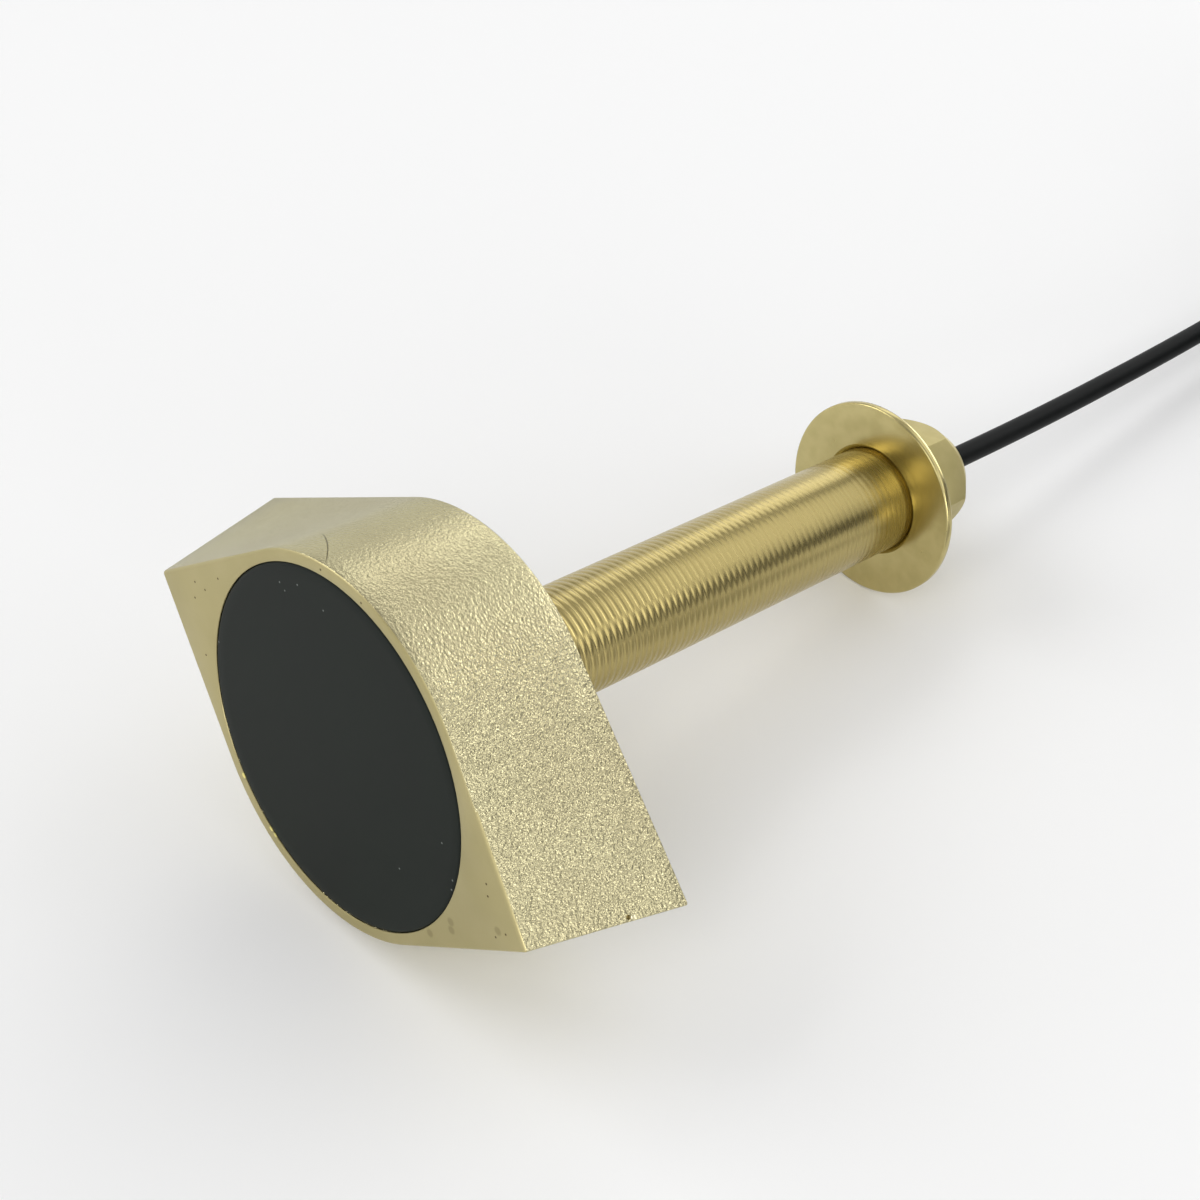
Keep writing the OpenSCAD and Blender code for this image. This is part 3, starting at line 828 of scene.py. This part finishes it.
# %% Stem
def turning_marks(place, per_mm):
    """Fine rings round the stem's axis, as a lathe leaves them."""
    along_axis = place.node("VectorMath", {"operation": "MULTIPLY"}, {0: upright(place), 1: (0, 0, 1)})
    return along_axis.noise(per_mm, 3)


turned_brass, shader, place = finish("turned_brass")
streak = turning_marks(place, 1.3)
apply(
    shader, Base_Color=streak.between(0.3, 0.7).mix(colour(183, 167, 111), colour(176, 160, 104)),
    Metallic=1.0, Roughness=0.22 + 0.1 * streak,
)
stem.data.materials.append(turned_brass)
print("stem brass done")


# %% Nuts
def clean_brass(name, light, dark, gloss):
    """Satin brass with slow clouds in its tone and gloss."""
    made, shader, place = finish(name)
    cloud = upright(place).noise(0.25, 2)
    apply(
        shader, Base_Color=cloud.between(0.3, 0.7).mix(colour(*light), colour(*dark)),
        Metallic=1.0, Roughness=gloss + 0.1 * cloud,
    )
    print(name, "done")
    return made


nut_brass = clean_brass("nut_brass", (197, 184, 130), (189, 176, 122), 0.2)
gland_brass = clean_brass("gland_brass", (190, 178, 125), (184, 172, 119), 0.4)
hull_nut.data.materials.append(nut_brass)
gland.data.materials.append(gland_brass)

# %% [markdown]
# ## Cable jacket
# The jacket is extruded black rubber with a faint satin sheen. It needs little: two blacks that drift
# into each other, and a gloss that drifts with them.

# %% Cable jacket
cable_jacket, shader, place = finish("cable_jacket")
cloud = place.noise(200, 3)
apply(
    shader, Base_Color=cloud.between(0.3, 0.7).mix(colour(7, 9, 9), colour(12, 14, 14)),
    Roughness=0.42 + 0.1 * cloud, Specular_IOR_Level=0.1,
)
cable.data.materials.append(cable_jacket)
print("cable jacket done")

# %% [markdown]
# ## The strap, the plug and the pieces inside
# The strap is a twill: ridges that run slantwise, from the two lengths that each point remembers. The
# plug and the pieces inside the housing keep their solids. Each gets a finish of its own kind from one
# function: two tones of a colour that drift into each other, and a bump of the right grain.

# %% Woven strap
tie_fabric, shader, place = finish("tie_fabric")
run = place.node("Attribute", {"attribute_name": "along"}, {}, 2)
width = place.node("Attribute", {"attribute_name": "across"}, {}, 2)
weave = 0.6 * (6.0 * (run + width)).sine() + 0.4 * (9.0 * width).sine()
apply(
    shader, Base_Color=weave.between(-0.8, 0.8).mix(colour(18, 18, 20), colour(46, 46, 48)),
    Roughness=0.75 + 0.1 * place.noise(900), Normal=weave.bump(0.8, 0.0003), Sheen_Weight=0.2,
)
strap.data.materials.append(tie_fabric)
print("strap woven")


# %% Two-toned finishes
def two_toned(name, dark, light, patch, grain, depth, gloss, **more):
    """A finish of two tones in patches, with a grain; patch and grain are counts to the metre."""
    made, shader, place = finish(name)
    rise = place.noise(grain, 3)
    apply(
        shader, Base_Color=place.noise(patch, 3).between(0.3, 0.7).mix(colour(*dark), colour(*light)),
        Roughness=gloss + 0.12 * rise, Normal=rise.bump(0.6, depth), **more,
    )
    return made


def dress(finish_made, *names):
    """Puts a finish on solids that are kept as they are."""
    for name in names:
        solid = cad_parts[name].data
        solid.materials.clear()
        solid.materials.append(finish_made)
    print(finish_made.name, "on", ", ".join(names))


rubber = two_toned("seal_rubber", (20, 20, 21), (28, 28, 29), 180, 2600, 0.0002, 0.5)
shell = two_toned("plug_plastic", (36, 38, 40), (44, 46, 48), 120, 3200, 0.0002, 0.42)
insert = two_toned("insert_plastic", (80, 82, 80), (92, 94, 92), 150, 2400, 0.0001, 0.4)
gilt = two_toned("contact_brass", (214, 176, 84), (224, 188, 98), 300, 3000, 0.00005, 0.2, Metallic=1.0)
dress(rubber, "plug_boot", "plug_seal", "gland_grommet")
dress(shell, "plug_shell")
dress(insert, "plug_insert")
dress(gilt, "plug_contacts")
dress(nut_brass, "gland_washer")
dress(cable_jacket, "stem_cable")

# %% Finishes inside the housing
ceramic = two_toned("ceramic", (196, 188, 160), (212, 204, 178), 200, 4000, 0.00005, 0.45)
cork = two_toned("cork", (140, 96, 56), (186, 140, 92), 900, 1400, 0.0006, 0.8)
potting = two_toned("potting_resin", (74, 76, 74), (92, 94, 92), 60, 500, 0.0002, 0.25)
live = two_toned("live_wire", (150, 28, 24), (166, 36, 30), 300, 2000, 0.00005, 0.4)
back = two_toned("return_wire", (196, 196, 190), (210, 210, 204), 300, 2000, 0.00005, 0.4)
dress(ceramic, "piezo_disc")
dress(cork, "cork_ring", "cork_backing")
dress(potting, "potting_block")
dress(live, "live_lead")
dress(back, "return_lead")

# %% [markdown]
# ## Floor, flags and world
# The floor's white fades out towards its edge. The world could be one even white, but then the metal
# would lose its dark gaps between the lamps. So it is white at the horizon and below, as a studio's
# backdrop is, and dims overhead as a studio's ceiling does.

# %% Floor, flags and the painted shadow
floor_white, shader, place = finish("floor_white")
far_off = place.node("VectorMath", {"operation": "LENGTH"}, {0: place}, 1)
FADE_FROM, FADE_TO = 0.95, FLOOR_R - 0.1
apply(
    shader, Base_Color=grey(0.94), Roughness=0.9, Specular_IOR_Level=0.2,
    Alpha=far_off.between(FADE_FROM, FADE_TO, 1.0, 0.0),
)
floor.data.materials.append(floor_white)
# the second card's grey is the painted shadow on the floor
for card, tone in zip(dark_cards, (0.04, 0.45)):
    card_matt, shader, place = finish(card.name + "_matt")
    apply(shader, Base_Color=grey(tone), Roughness=1.0, Specular_IOR_Level=0.0)
    card.data.materials.append(card_matt)
print("floor and flags done")

# %% World
BACKDROP, CEILING = 0.93, 0.35
world = bpy.data.worlds.new("studio")
scene.world = world
world.use_nodes = True
background = world.node_tree.nodes["Background"]
sky = Field(world.node_tree.nodes.new("ShaderNodeTexCoord").outputs["Object"])
rise = sky.node("SeparateXYZ", {}, {0: sky}, 2)
apply(background, Color=rise.between(0.25, 0.5).mix(grey(BACKDROP), grey(CEILING)), Strength=1.0)
print("studio lit")
